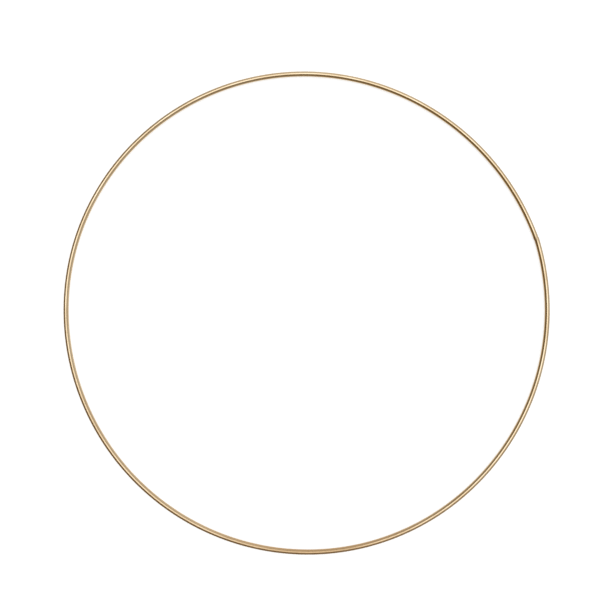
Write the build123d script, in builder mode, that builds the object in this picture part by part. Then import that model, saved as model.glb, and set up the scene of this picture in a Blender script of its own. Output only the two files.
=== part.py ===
from build123d import *
import os

# Wire wreath frame: one length of round wire, rolled into a hoop and butt-welded end to end.
#
# Millimetres. The hoop lies flat on the XY plane with +Z up through its middle. The origin is the
# centre of the hoop's footprint, on the surface that it lies on.

# Wire: 3 mm steel with its gold-coloured finish on it.
wire_diameter = 3.1
wire_radius = wire_diameter / 2

# The hoop comes off the roller a little out of round. Each stretch is (bend radius, sweep in
# degrees), anticlockwise from the weld: a flat lead, the body of the hoop with one tighter spot,
# and a last stretch that closes onto the other end of the wire.
nominal_radius = 150
rolled_stretches = [
    (155, 54),
    (148, 75),
    (144, 28),
    (150, 90),
    (147, 45),
]

# Butt weld. The wire leaves it turned in from the tangent by lead_turn, and the end that the
# hoop closes on stands weld_step further out than the end that it starts from.
weld_angle = 18.3
weld_length = 1.6
weld_step = 0.2
weld_bulge = 0.1
lead_turn = 1.9


def across_wire(centre, direction):
    """A plane square to the wire at a point on its centreline, with its X axis straight up."""
    return Plane(origin=centre, x_dir=(0, 0, 1), z_dir=direction)


# The weld's middle and the two cut ends, in a frame whose origin is the nominal centre.
outward = Vector(1, 0, 0).rotate(Axis.Z, weld_angle)
along = outward.rotate(Axis.Z, 90)
weld_middle = outward * nominal_radius
start_end = weld_middle + along * (weld_length / 2) - outward * (weld_step / 2)
closing_end = weld_middle - along * (weld_length / 2) + outward * (weld_step / 2)

with BuildLine() as rolled:
    point = start_end
    heading = along.rotate(Axis.Z, lead_turn)
    for bend_radius, sweep_angle in rolled_stretches:
        stretch = JernArc(point, heading, bend_radius, sweep_angle)
        point = stretch @ 1
        heading = stretch % 1
    TangentArc(point, closing_end, tangent=heading)

# The centreline, moved so that the hoop's footprint is centred and its underside is at Z = 0.
footprint_centre = rolled.line.bounding_box().center()
onto_surface = Vector(-footprint_centre.X, -footprint_centre.Y, wire_radius)
with BuildLine() as centreline:
    add(rolled.line.moved(Location(onto_surface)))

start_face = across_wire(centreline.line @ 0, centreline.line % 0)
closing_face = across_wire(centreline.line @ 1, centreline.line % 1)
weld_face = across_wire(weld_middle + onto_surface, along)

with BuildPart() as hoop_wire:
    with BuildSketch(start_face):
        Circle(wire_radius)
    sweep(path=centreline.line)

# Upset metal between the two cut ends. It is dressed flush above and below, where the hoop lies
# on things, and left a little proud inside and outside the hoop.
with BuildPart() as butt_weld:
    with BuildSketch(closing_face):
        Circle(wire_radius)
    with BuildSketch(weld_face):
        Ellipse(wire_radius, wire_radius + weld_bulge)
    with BuildSketch(start_face):
        Circle(wire_radius)
    loft()

hoop_wire.part.label = "hoop_wire"
butt_weld.part.label = "butt_weld"

os.makedirs("parts", exist_ok=True)
export_step(hoop_wire.part, "parts/hoop_wire.step")
export_step(butt_weld.part, "parts/butt_weld.step")

footprint = hoop_wire.part.bounding_box().size
print(f"footprint {footprint.X:.2f} x {footprint.Y:.2f} mm, thickness {footprint.Z:.2f} mm")
print(f"wire length {centreline.wire().length:.1f} mm, weld centre {weld_face.origin}")
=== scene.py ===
"""Looks of the wreath frame: one length of gold-plated wire, rolled into a hoop and butt-welded.

Metres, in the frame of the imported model. The hoop lies on the floor, Z = 0, and +Z is up. The wire
is worked on as if it were straight: a point of it is a distance along it from the weld, and an
angle round it, which is 0 on the outside of the hoop and 90 degrees on top.
"""

import math

import bpy
import numpy as np
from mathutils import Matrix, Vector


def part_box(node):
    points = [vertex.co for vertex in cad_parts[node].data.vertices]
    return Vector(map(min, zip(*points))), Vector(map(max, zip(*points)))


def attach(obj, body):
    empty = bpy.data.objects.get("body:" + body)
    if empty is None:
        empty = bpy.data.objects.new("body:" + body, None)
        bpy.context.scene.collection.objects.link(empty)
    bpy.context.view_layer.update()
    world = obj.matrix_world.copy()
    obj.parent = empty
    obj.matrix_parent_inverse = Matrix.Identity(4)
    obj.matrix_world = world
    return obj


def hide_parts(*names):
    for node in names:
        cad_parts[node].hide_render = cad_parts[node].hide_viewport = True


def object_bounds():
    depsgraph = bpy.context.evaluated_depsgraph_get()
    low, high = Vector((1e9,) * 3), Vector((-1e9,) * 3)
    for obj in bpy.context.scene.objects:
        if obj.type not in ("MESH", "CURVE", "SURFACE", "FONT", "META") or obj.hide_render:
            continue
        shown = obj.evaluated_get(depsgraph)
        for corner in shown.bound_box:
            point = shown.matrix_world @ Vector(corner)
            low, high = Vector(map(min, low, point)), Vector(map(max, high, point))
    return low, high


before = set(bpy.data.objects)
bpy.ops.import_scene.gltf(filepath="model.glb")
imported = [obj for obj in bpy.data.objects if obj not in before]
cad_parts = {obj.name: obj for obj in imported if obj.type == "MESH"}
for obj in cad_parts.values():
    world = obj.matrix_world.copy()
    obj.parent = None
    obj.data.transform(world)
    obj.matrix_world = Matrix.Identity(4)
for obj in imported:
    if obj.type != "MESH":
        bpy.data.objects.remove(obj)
cad_low, cad_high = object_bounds()

MM = 0.001
UP = np.array([0.0, 0.0, 1.0])

# The wire's mesh. Its rings are closer together near the weld.
wire_sides = 60
wire_step = 0.72 * MM
weld_zone = 16 * MM
weld_zone_step = 0.2 * MM

# Rolling presses a faint flat along the outside and the inside of the wire.
roller_flat_depth = 0.014 * MM
roller_flat_half_angle = 17

# Handling leaves shallow dents all along it.
dent_seed = 7
dent_count = 26
dent_depths = (0.008 * MM, 0.03 * MM)
dent_reaches = (0.8 * MM, 1.8 * MM)
dent_half_angles = (9, 20)

# The welder's jaws grip each end of the wire from above and below, and leave ribbed flats.
jaw_start = 5 * MM
jaw_end = 12 * MM
jaw_depth = 0.018 * MM
jaw_half_angle = 24
jaw_rib_pitch = 0.8 * MM
jaw_rib_depth = 0.005 * MM

# The weld is a low collar with a ridge inside and outside the hoop. Its toes run out unevenly
# over the two ends of the wire.
weld_rings = 72
weld_sides = 120
weld_toe = 0.4 * MM
weld_toe_uneven = 0.3
weld_film = 0.018 * MM
weld_ridge = 0.04 * MM
weld_ridge_reach = 0.55 * MM
weld_ridge_focus = 1.5
weld_lump = 0.009 * MM
weld_lump_length = 0.35 * MM

# Flats dressed on the weld: the angle round the wire, and how far each stands off its surface.
# None reaches further round than facet_half_angle to either side.
facet_half_angle = 60
weld_facets = [
    (90, 0),
    (-90, 0),
    (38, 0.014 * MM),
    (-31, 0.018 * MM),
    (147, 0.016 * MM),
    (-150, 0.022 * MM),
]

# The weld's heat browns the finish, most on the inside of the hoop and further along the end
# that the hoop closes on. Dressing marks reach a little way past the collar.
heat_reach_start = 1.1 * MM
heat_reach_closing = 3.6 * MM
heat_side = 175
heat_focus = 3
dressed_reach = 2.2 * MM

# Two stretches on the lower part of the hoop carry painted shade, a deeper colour for the dimmer
# light there, and a duller finish. Each has its middle, as a share of the wire's length from the
# weld, its reach and its strength.
painted_shade_and_dull_stretches = [
    (0.545, 58 * MM, 0.3),
    (0.705, 76 * MM, 0.95),
]

# Finish: its colours, which are linear, and how rough it is.
pale_gold = (0.83, 0.675, 0.455)
deep_gold = (0.74, 0.56, 0.34)
# The third colour is painted shade: the two stretches above darken towards it for the dimmer light
# on them.
painted_shade_gold = (0.65, 0.45, 0.25)
tarnish_brown = (0.52, 0.355, 0.195)
heat_brown = (0.36, 0.215, 0.095)
wire_roughness = 0.18
weld_roughness = 0.24

# The finish's patterns: cells per metre across, up and along the wire. Pinholes have the same
# number each way, and their floor and rim are distances from a cell's middle, in cells.
streak_cells = (18000, 18000, 70)
patch_cells = (420, 420, 50)
tarnish_cells = (260, 260, 20)
peel_cells = (2600, 2600, 1900)
scratch_cells = (9000, 9000, 130)
ground_cells = (240, 240, 9000)
pinhole_cells = 900
pinhole_floor, pinhole_rim = 0.03, 0.07
pinhole_spread = 5

# Two sets of scratches lean from the wire's own direction. Each lean is a turn in radians about
# across, up and along.
scratch_leans = [(0.035, 0.02, 0), (-0.02, 0.06, 0)]

# How high each pattern stands on the finish. Scratches and pinholes are cut into it.
streak_height = 0.0018 * MM
peel_height = 0.0016 * MM
scratch_height = -0.0025 * MM
pinhole_height = -0.006 * MM
ground_height = 0.003 * MM

# Studio: the room's own light from all round, and these sources. Each has its direction (azimuth
# from +X, angle from straight up), the angles from that direction within which it is full and
# beyond which it is gone, and its light. Angles are in degrees.
room_light = (0.155, 0.11, 0.052)
light_sources = {
    "softbox": ((55, 5.5), (19, 35), (0.98, 0.96, 0.97)),
    "second_softbox": ((143, 12), (10, 26), (0.44, 0.57, 0.7)),
    "window": ((88, 72), (13, 40), (0.23, 0.2, 0.17)),
    "broad_fill": ((31, 120), (0, 180), (0.452, 0.505, 0.578)),
    "floor_bounce": ((0, 180), (0, 102), (0.34, 0.26, 0.14)),
}
backdrop_white = 1.0
floor_grey = (0.8, 0.8, 0.8)
floor_glow = (0.63, 0.655, 0.68)

# The camera looks straight down, and stands a little up and left of the hoop's middle.
picture_width = 1.2444 * (cad_high.x - cad_low.x)
lens = 46
sensor = 36
camera_offset = (-2.58 * MM, 6.51 * MM)
floor_width = 12


def smoothstep(low, high, value):
    """0 at low, 1 at high, and a smooth change between them."""
    share = np.clip((value - low) / (high - low), 0, 1)
    return share * share * (3 - 2 * share)


def bump_of(distance, reach):
    """1 at no distance, falling smoothly to nothing beyond the reach."""
    return np.exp(-((distance / reach) ** 2))


def angles_round(sides):
    """Evenly spaced angles round the wire, in degrees."""
    return np.linspace(0, 360, sides, endpoint=False)


def angle_between(angles, angle):
    """How far apart angles are, in degrees, the short way round."""
    return np.abs((angles - angle + 180) % 360 - 180)


def polar(points):
    """Angles of points round the hoop's middle, in radians."""
    return np.arctan2(points[..., 1], points[..., 0])


def unit(vectors):
    """The same directions, each of length 1."""
    return vectors / np.linalg.norm(vectors, axis=-1, keepdims=True)


def section_middles(node, weld_angle):
    """Middles of the CAD wire's cross-sections, in order round the hoop from the weld."""
    section_gap = math.radians(0.1)
    decimals = 7
    points = np.unique(np.array([v.co for v in node.data.vertices]).round(decimals), axis=0)
    turn = (polar(points) - weld_angle) % math.tau
    order = np.argsort(turn)
    breaks = np.nonzero(np.diff(turn[order]) > section_gap)[0] + 1
    return np.array([section.mean(axis=0) for section in np.split(points[order], breaks)])


def fine_line(middles):
    """The centreline in very small steps, with its corners at the middles smoothed out."""
    steps = 24000
    turn = np.unwrap(polar(middles))
    radius = np.hypot(middles[:, 0], middles[:, 1])
    fine_turn = np.linspace(turn[0], turn[-1], steps)
    window = steps // len(middles) | 1
    padded = np.pad(np.interp(fine_turn, turn, radius), window // 2, "reflect", reflect_type="odd")
    fine_radius = np.convolve(padded, np.ones(window) / window, "valid")
    height = np.full(steps, middles[:, 2].mean())
    return np.stack([fine_radius * np.cos(fine_turn), fine_radius * np.sin(fine_turn), height], 1)


def distances_along(line):
    """Each point's distance from the line's start."""
    return np.concatenate([[0], np.cumsum(np.linalg.norm(np.diff(line, axis=0), axis=1))])


def place_along(line, distances):
    """Points at these distances along the line, and the way out of the hoop at each."""
    travelled = distances_along(line)
    headings = unit(np.gradient(line, axis=0))
    points = np.stack([np.interp(distances, travelled, column) for column in line.T], 1)
    forward = np.stack([np.interp(distances, travelled, column) for column in headings.T], 1)
    return points, np.cross(forward, UP)


def tube(name, middles, outward, radii, distances, shares):
    """A closed tube: a ring of points round each middle, and a flat cap at each end. The shares
    say how strongly the finish shows each of its named changes, at each point."""
    rings, sides = radii.shape
    angles = np.radians(angles_round(sides))
    across = radii * np.cos(angles)
    upward = radii * np.sin(angles)
    points = middles[:, None] + across[..., None] * outward[:, None] + upward[..., None] * UP
    ring, side = np.meshgrid(np.arange(rings - 1), np.arange(sides), indexing="ij")
    corner = ring * sides + side
    beside = ring * sides + (side + 1) % sides
    quads = np.stack([corner, beside, beside + sides, corner + sides], -1).reshape(-1, 4)
    last = (rings - 1) * sides
    caps = [list(range(sides))[::-1], list(range(last, last + sides))]
    mesh = bpy.data.meshes.new(name)
    mesh.from_pydata(points.reshape(-1, 3).tolist(), [], quads.tolist() + caps)
    smooth = np.ones(len(mesh.polygons), bool)
    smooth[-len(caps):] = False
    mesh.polygons.foreach_set("use_smooth", smooth)
    straight = np.stack([across, upward, np.broadcast_to(distances[:, None], radii.shape)], -1)
    attributes = mesh.attributes
    attributes.new("straight", "FLOAT_VECTOR", "POINT").data.foreach_set("vector", straight.ravel())
    for change, share in shares.items():
        values = np.broadcast_to(share, radii.shape).ravel()
        attributes.new(change, "FLOAT", "POINT").data.foreach_set("value", values)
    piece = bpy.data.objects.new(name, mesh)
    bpy.context.scene.collection.objects.link(piece)
    return piece


def heat_round(sides):
    """How strongly the weld's heat shows at each angle round the wire."""
    return (0.5 + 0.5 * np.cos(np.radians(angles_round(sides) - heat_side))) ** heat_focus


def wire_rings(length):
    """Where along the wire its rings stand: even steps, with closer ones beside the weld."""
    start = np.arange(0, weld_zone, weld_zone_step)
    steps = round((length - 2 * weld_zone) / wire_step)
    middle = np.linspace(weld_zone, length - weld_zone, steps + 1)
    return np.concatenate([start, middle, length - start[::-1]])


def wire_radii(radius, distances, length):
    """The wire's surface: round, with its roller flats, its dents and the marks of the jaws."""
    angles = angles_round(wire_sides)
    radii = np.full((len(distances), wire_sides), radius)
    for side in (0, 180):
        radii -= roller_flat_depth * bump_of(angle_between(angles, side), roller_flat_half_angle)
    random = np.random.default_rng(dent_seed)
    for _ in range(dent_count):
        along = distances - random.uniform(weld_zone, length - weld_zone)
        around = angle_between(angles, random.uniform(0, 360))
        reach = random.uniform(*dent_reaches)
        half_angle = random.uniform(*dent_half_angles)
        depth = random.uniform(*dent_depths)
        radii -= depth * np.outer(bump_of(along, reach), bump_of(around, half_angle))
    from_end = np.minimum(distances, length - distances)
    edge = jaw_rib_pitch
    gripped = smoothstep(jaw_start, jaw_start + edge, from_end)
    gripped *= smoothstep(jaw_end + edge, jaw_end, from_end)
    ribs = 0.5 + 0.5 * np.cos(math.tau * from_end / jaw_rib_pitch)
    for side in (90, -90):
        pressed = bump_of(angle_between(angles, side), jaw_half_angle)
        radii -= np.outer(gripped * (jaw_depth + jaw_rib_depth * ribs), pressed)
    return radii


def make_wire(line, radius):
    """The wire, and along it how strongly its finish is heated, dressed and painted with shade."""
    length = distances_along(line)[-1]
    distances = wire_rings(length)
    middles, outward = place_along(line, distances)
    heat = np.exp(-distances / heat_reach_start) + np.exp((distances - length) / heat_reach_closing)
    from_end = np.minimum(distances, length - distances)
    # Painted shade, with a duller finish, on the two stretches listed above.
    painted_shade_and_dulling = sum(
        strength * bump_of(distances - middle * length, reach)
        for middle, reach, strength in painted_shade_and_dull_stretches
    )
    shares = {
        "heated": np.outer(heat, heat_round(wire_sides)),
        "dressed": bump_of(from_end, dressed_reach)[:, None],
        "painted_shade_and_dulling": painted_shade_and_dulling[:, None],
    }
    radii = wire_radii(radius, distances, length)
    return tube("hoop_wire_finished", middles, outward, radii, distances, shares)


def weld_radii(radius, along, half_length):
    """The collar's surface: film, ridge and lumps, cut back by the dressed flats."""
    angles = angles_round(weld_sides)
    turn = np.radians(angles)
    runout = 1 - weld_toe_uneven * (np.sin(3 * turn + 1.1) * np.sin(2 * turn - 0.7)) ** 2
    toe = smoothstep(1, 0, (np.abs(along)[:, None] - half_length) / (weld_toe * runout))
    ridge = np.outer(bump_of(along, weld_ridge_reach), np.abs(np.cos(turn)) ** weld_ridge_focus)
    wander = along[:, None] / weld_lump_length
    lumps = np.sin(5 * turn + 1.7 * wander) * np.sin(7 * turn - wander + 2)
    radii = radius + weld_film * (2 * toe - 1) + toe * (weld_ridge * ridge + weld_lump * lumps)
    for facet_angle, stand_off in weld_facets:
        apart = angle_between(angles, facet_angle)
        facing = np.cos(np.radians(np.minimum(apart, facet_half_angle)))
        flat = np.where(apart < facet_half_angle, (radius + stand_off) / facing, np.inf)
        radii = np.minimum(radii, flat)
    return radii


def make_weld(line, radius):
    """The weld, between the end that the hoop closes on and the end that it starts from."""
    heading_steps = 20
    closing_way = unit(line[-1] - line[-heading_steps])
    start_way = unit(line[heading_steps] - line[0])
    way = unit(closing_way + start_way)
    half_length = (line[0] - line[-1]) @ way / 2
    reach = half_length + weld_toe
    along = np.linspace(-reach, reach, weld_rings)
    closing_axis = line[-1] + (along + half_length)[:, None] * closing_way
    start_axis = line[0] + (along - half_length)[:, None] * start_way
    share = smoothstep(-half_length, half_length, along)[:, None]
    middles = (1 - share) * closing_axis + share * start_axis
    outward = np.cross(unit(np.gradient(middles, axis=0)), UP)
    radii = weld_radii(radius, along, half_length)
    shares = {"heated": heat_round(weld_sides), "dressed": 1, "painted_shade_and_dulling": 0}
    return tube("butt_weld_finished", middles, outward, radii, along, shares)


def add_node(tree, kind, inputs=None, **settings):
    """A node with its settings, and its inputs, each a value or the socket that feeds it."""
    made = tree.nodes.new(kind)
    for name, value in settings.items():
        setattr(made, name, value)
    for socket, value in (inputs or {}).items():
        if isinstance(value, bpy.types.NodeSocket):
            tree.links.new(value, made.inputs[socket])
        else:
            made.inputs[socket].default_value = value
    return made


def noise(tree, place, cells, detail=3, roughness=0.55):
    """Noise from 0 to 1, with its own cells per metre across, up and along the wire."""
    scaled = add_node(tree, "ShaderNodeVectorMath", {0: place, 1: cells}, operation="MULTIPLY")
    inputs = {"Vector": scaled.outputs[0], "Scale": 1, "Detail": detail, "Roughness": roughness}
    return add_node(tree, "ShaderNodeTexNoise", inputs).outputs["Fac"]


def mapped(tree, value, low, high, to_low=0.0, to_high=1.0):
    """The value's range from low to high, as to_low to to_high, with smooth ends."""
    inputs = {
        "Value": value,
        "From Min": low,
        "From Max": high,
        "To Min": to_low,
        "To Max": to_high,
    }
    return add_node(
        tree, "ShaderNodeMapRange", inputs, interpolation_type="SMOOTHSTEP"
    ).outputs[0]


def arithmetic(tree, operation, first, second):
    """The result of a Math node."""
    return add_node(tree, "ShaderNodeMath", {0: first, 1: second}, operation=operation).outputs[0]


def mixed(tree, share, first, second):
    """One colour turning into another as share goes from 0 to 1. A Mix node has sockets for each
    type of value: its two colours are inputs 6 and 7, and their mixture is output 2."""
    colours = [c if isinstance(c, bpy.types.NodeSocket) else (*c, 1) for c in (first, second)]
    inputs = {0: share, 6: colours[0], 7: colours[1]}
    return add_node(tree, "ShaderNodeMix", inputs, data_type="RGBA").outputs[2]


def bumped(tree, pattern, height, normal=None):
    """A pattern's relief, of that height in metres, over the relief that normal already has."""
    inputs = {"Height": pattern, "Distance": height, "Strength": 1}
    if normal is not None:
        inputs["Normal"] = normal
    return add_node(tree, "ShaderNodeBump", inputs).outputs[0]


def scratches(tree, straight, lean):
    """Fine scratches, one for each long thin cell that stands out."""
    inputs = {"Vector": straight, "Rotation": lean}
    leaning = add_node(tree, "ShaderNodeMapping", inputs).outputs[0]
    return mapped(tree, noise(tree, leaning, scratch_cells, detail=0), 0.715, 0.745)


def share_of(tree, change):
    """How strongly one of the finish's named changes shows, as the mesh says."""
    return add_node(tree, "ShaderNodeAttribute", attribute_name=change).outputs["Fac"]


def pits(tree, straight):
    """Pinholes in the plating: the largest, and others up to pinhole_spread times smaller."""
    inputs = {"Vector": straight, "Scale": pinhole_cells}
    cells = add_node(tree, "ShaderNodeTexVoronoi", inputs).outputs
    shrink = mapped(tree, cells["Color"], 0, 1, 1, pinhole_spread)
    from_middle = arithmetic(tree, "MULTIPLY", cells["Distance"], shrink)
    return mapped(tree, from_middle, pinhole_floor, pinhole_rim, 1, 0)


def gold_finish(name, roughness):
    """Plated finish over drawn wire: streaks, worn patches, tarnish, scratches, heat tint and
    painted shade.
    """
    material = bpy.data.materials.new(name)
    material.use_nodes = True
    tree = material.node_tree
    tree.nodes.clear()
    straight = add_node(tree, "ShaderNodeAttribute", attribute_name="straight").outputs["Vector"]

    streaks = noise(tree, straight, streak_cells)
    patches = noise(tree, straight, patch_cells, detail=4)
    tarnish = mapped(tree, noise(tree, straight, tarnish_cells, detail=5), 0.56, 0.78)
    peel = noise(tree, straight, peel_cells, detail=2)
    pinholes = pits(tree, straight)
    scratched = arithmetic(
        tree, "MAXIMUM", *(scratches(tree, straight, lean) for lean in scratch_leans)
    )
    ground = noise(tree, straight, ground_cells)
    ground = arithmetic(tree, "MULTIPLY", ground, share_of(tree, "dressed"))
    painted_shade_and_dulling = share_of(tree, "painted_shade_and_dulling")

    colour = mixed(tree, mapped(tree, patches, 0.3, 0.7), deep_gold, pale_gold)
    colour = mixed(tree, mapped(tree, streaks, 0.35, 0.75, 0, 0.35), colour, deep_gold)
    changes = (
        # Painted shade: the two stretches darken towards their colour for the dimmer light on them.
        (painted_shade_and_dulling, 1, painted_shade_gold),
        (tarnish, 0.3, tarnish_brown),
        (pinholes, 0.6, tarnish_brown),
        (share_of(tree, "heated"), 0.75, heat_brown),
    )
    for share, strength, changed in changes:
        colour = mixed(tree, arithmetic(tree, "MULTIPLY", share, strength), colour, changed)

    rough = mapped(tree, patches, 0.25, 0.75, roughness + 0.05, roughness - 0.04)
    layers = (
        (streaks, 0.05),
        (scratched, 0.1),
        (pinholes, 0.2),
        (ground, 0.1),
        (tarnish, 0.08),
        (painted_shade_and_dulling, 0.16),
    )
    for layer, amount in layers:
        rough = arithmetic(tree, "ADD", rough, arithmetic(tree, "MULTIPLY", layer, amount))

    normal = bumped(tree, streaks, streak_height)
    normal = bumped(tree, peel, peel_height, normal)
    normal = bumped(tree, scratched, scratch_height, normal)
    normal = bumped(tree, pinholes, pinhole_height, normal)
    normal = bumped(tree, ground, ground_height, normal)

    inputs = {"Base Color": colour, "Roughness": rough, "Normal": normal, "Metallic": 1}
    surface = add_node(tree, "ShaderNodeBsdfPrincipled", inputs).outputs[0]
    add_node(tree, "ShaderNodeOutputMaterial", {"Surface": surface})
    return material


def towards(azimuth, from_up):
    """The direction at an azimuth from +X and an angle from straight up, in degrees."""
    azimuth, from_up = math.radians(azimuth), math.radians(from_up)
    level = math.sin(from_up)
    return (level * math.cos(azimuth), level * math.sin(azimuth), math.cos(from_up))


def scaled_light(tree, share, light):
    """A share of a light's full strength."""
    inputs = {0: light, 3: share}
    return add_node(tree, "ShaderNodeVectorMath", inputs, operation="SCALE").outputs[0]


def make_studio():
    """Light by direction, as named above. The camera itself sees a plain white backdrop."""
    world = bpy.data.worlds.new("studio")
    world.use_nodes = True
    tree = world.node_tree
    tree.nodes.clear()
    direction = add_node(tree, "ShaderNodeTexCoord").outputs["Generated"]
    light = room_light
    for source, (full_within, gone_beyond), added in light_sources.values():
        inputs = {0: direction, 1: towards(*source)}
        cosine = add_node(tree, "ShaderNodeVectorMath", inputs, operation="DOT_PRODUCT").outputs[1]
        cosines = (math.cos(math.radians(angle)) for angle in (gone_beyond, full_within))
        inputs = {0: light, 1: scaled_light(tree, mapped(tree, cosine, *cosines), added)}
        light = add_node(tree, "ShaderNodeVectorMath", inputs, operation="ADD").outputs[0]
    seen = add_node(tree, "ShaderNodeLightPath").outputs["Is Camera Ray"]
    colour = mixed(tree, seen, light, (backdrop_white,) * 3)
    background = add_node(tree, "ShaderNodeBackground", {"Color": colour}).outputs[0]
    add_node(tree, "ShaderNodeOutputWorld", {"Surface": background})
    bpy.context.scene.world = world


def make_floor():
    """A plain floor that glows a little, so that it stays white beside the hoop. The finish
    reflects the studio's own light from below in place of it."""
    half = floor_width / 2
    corners = [(-half, -half, 0), (half, -half, 0), (half, half, 0), (-half, half, 0)]
    mesh = bpy.data.meshes.new("floor")
    mesh.from_pydata(corners, [], [(0, 1, 2, 3)])
    material = bpy.data.materials.new("floor_white")
    material.use_nodes = True
    shader = material.node_tree.nodes["Principled BSDF"]
    shader.inputs["Base Color"].default_value = (*floor_grey, 1)
    shader.inputs["Roughness"].default_value = 1
    shader.inputs["Specular IOR Level"].default_value = 0
    shader.inputs["Emission Color"].default_value = (*floor_glow, 1)
    shader.inputs["Emission Strength"].default_value = 1
    mesh.materials.append(material)
    floor = bpy.data.objects.new("floor", mesh)
    bpy.context.scene.collection.objects.link(floor)
    floor.visible_glossy = False
    floor.visible_shadow = False


def make_camera():
    """A camera high enough for the picture's width, with its near and far limits to suit."""
    camera = bpy.data.objects.new("camera", bpy.data.cameras.new("camera"))
    camera.data.lens = lens
    camera.data.sensor_width = sensor
    height = picture_width * lens / sensor
    middle = (cad_low + cad_high) / 2
    camera.location = (
        middle.x + camera_offset[0],
        middle.y + camera_offset[1],
        middle.z + height,
    )
    camera.data.clip_start = height / 100
    camera.data.clip_end = floor_width * 2
    bpy.context.scene.collection.objects.link(camera)
    bpy.context.scene.camera = camera


def dress(piece, material, node):
    """Gives a finished piece its material, and puts it in place of the CAD node."""
    piece.data.materials.append(material)
    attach(piece, "root")
    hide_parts(node)


weld_low, weld_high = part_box("butt_weld")
wire_low, wire_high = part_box("hoop_wire")
wire_radius = (wire_high.z - wire_low.z) / 2
weld_angle = polar(np.array((weld_low + weld_high) / 2))
centreline = fine_line(section_middles(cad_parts["hoop_wire"], weld_angle))

wire = make_wire(centreline, wire_radius)
wire_gold = gold_finish("wire_gold", wire_roughness)
dress(wire, wire_gold, "hoop_wire")

weld = make_weld(centreline, wire_radius)
weld_gold = gold_finish("weld_gold", weld_roughness)
dress(weld, weld_gold, "butt_weld")

make_studio()
make_floor()
make_camera()
bpy.context.scene.view_settings.view_transform = "Standard"
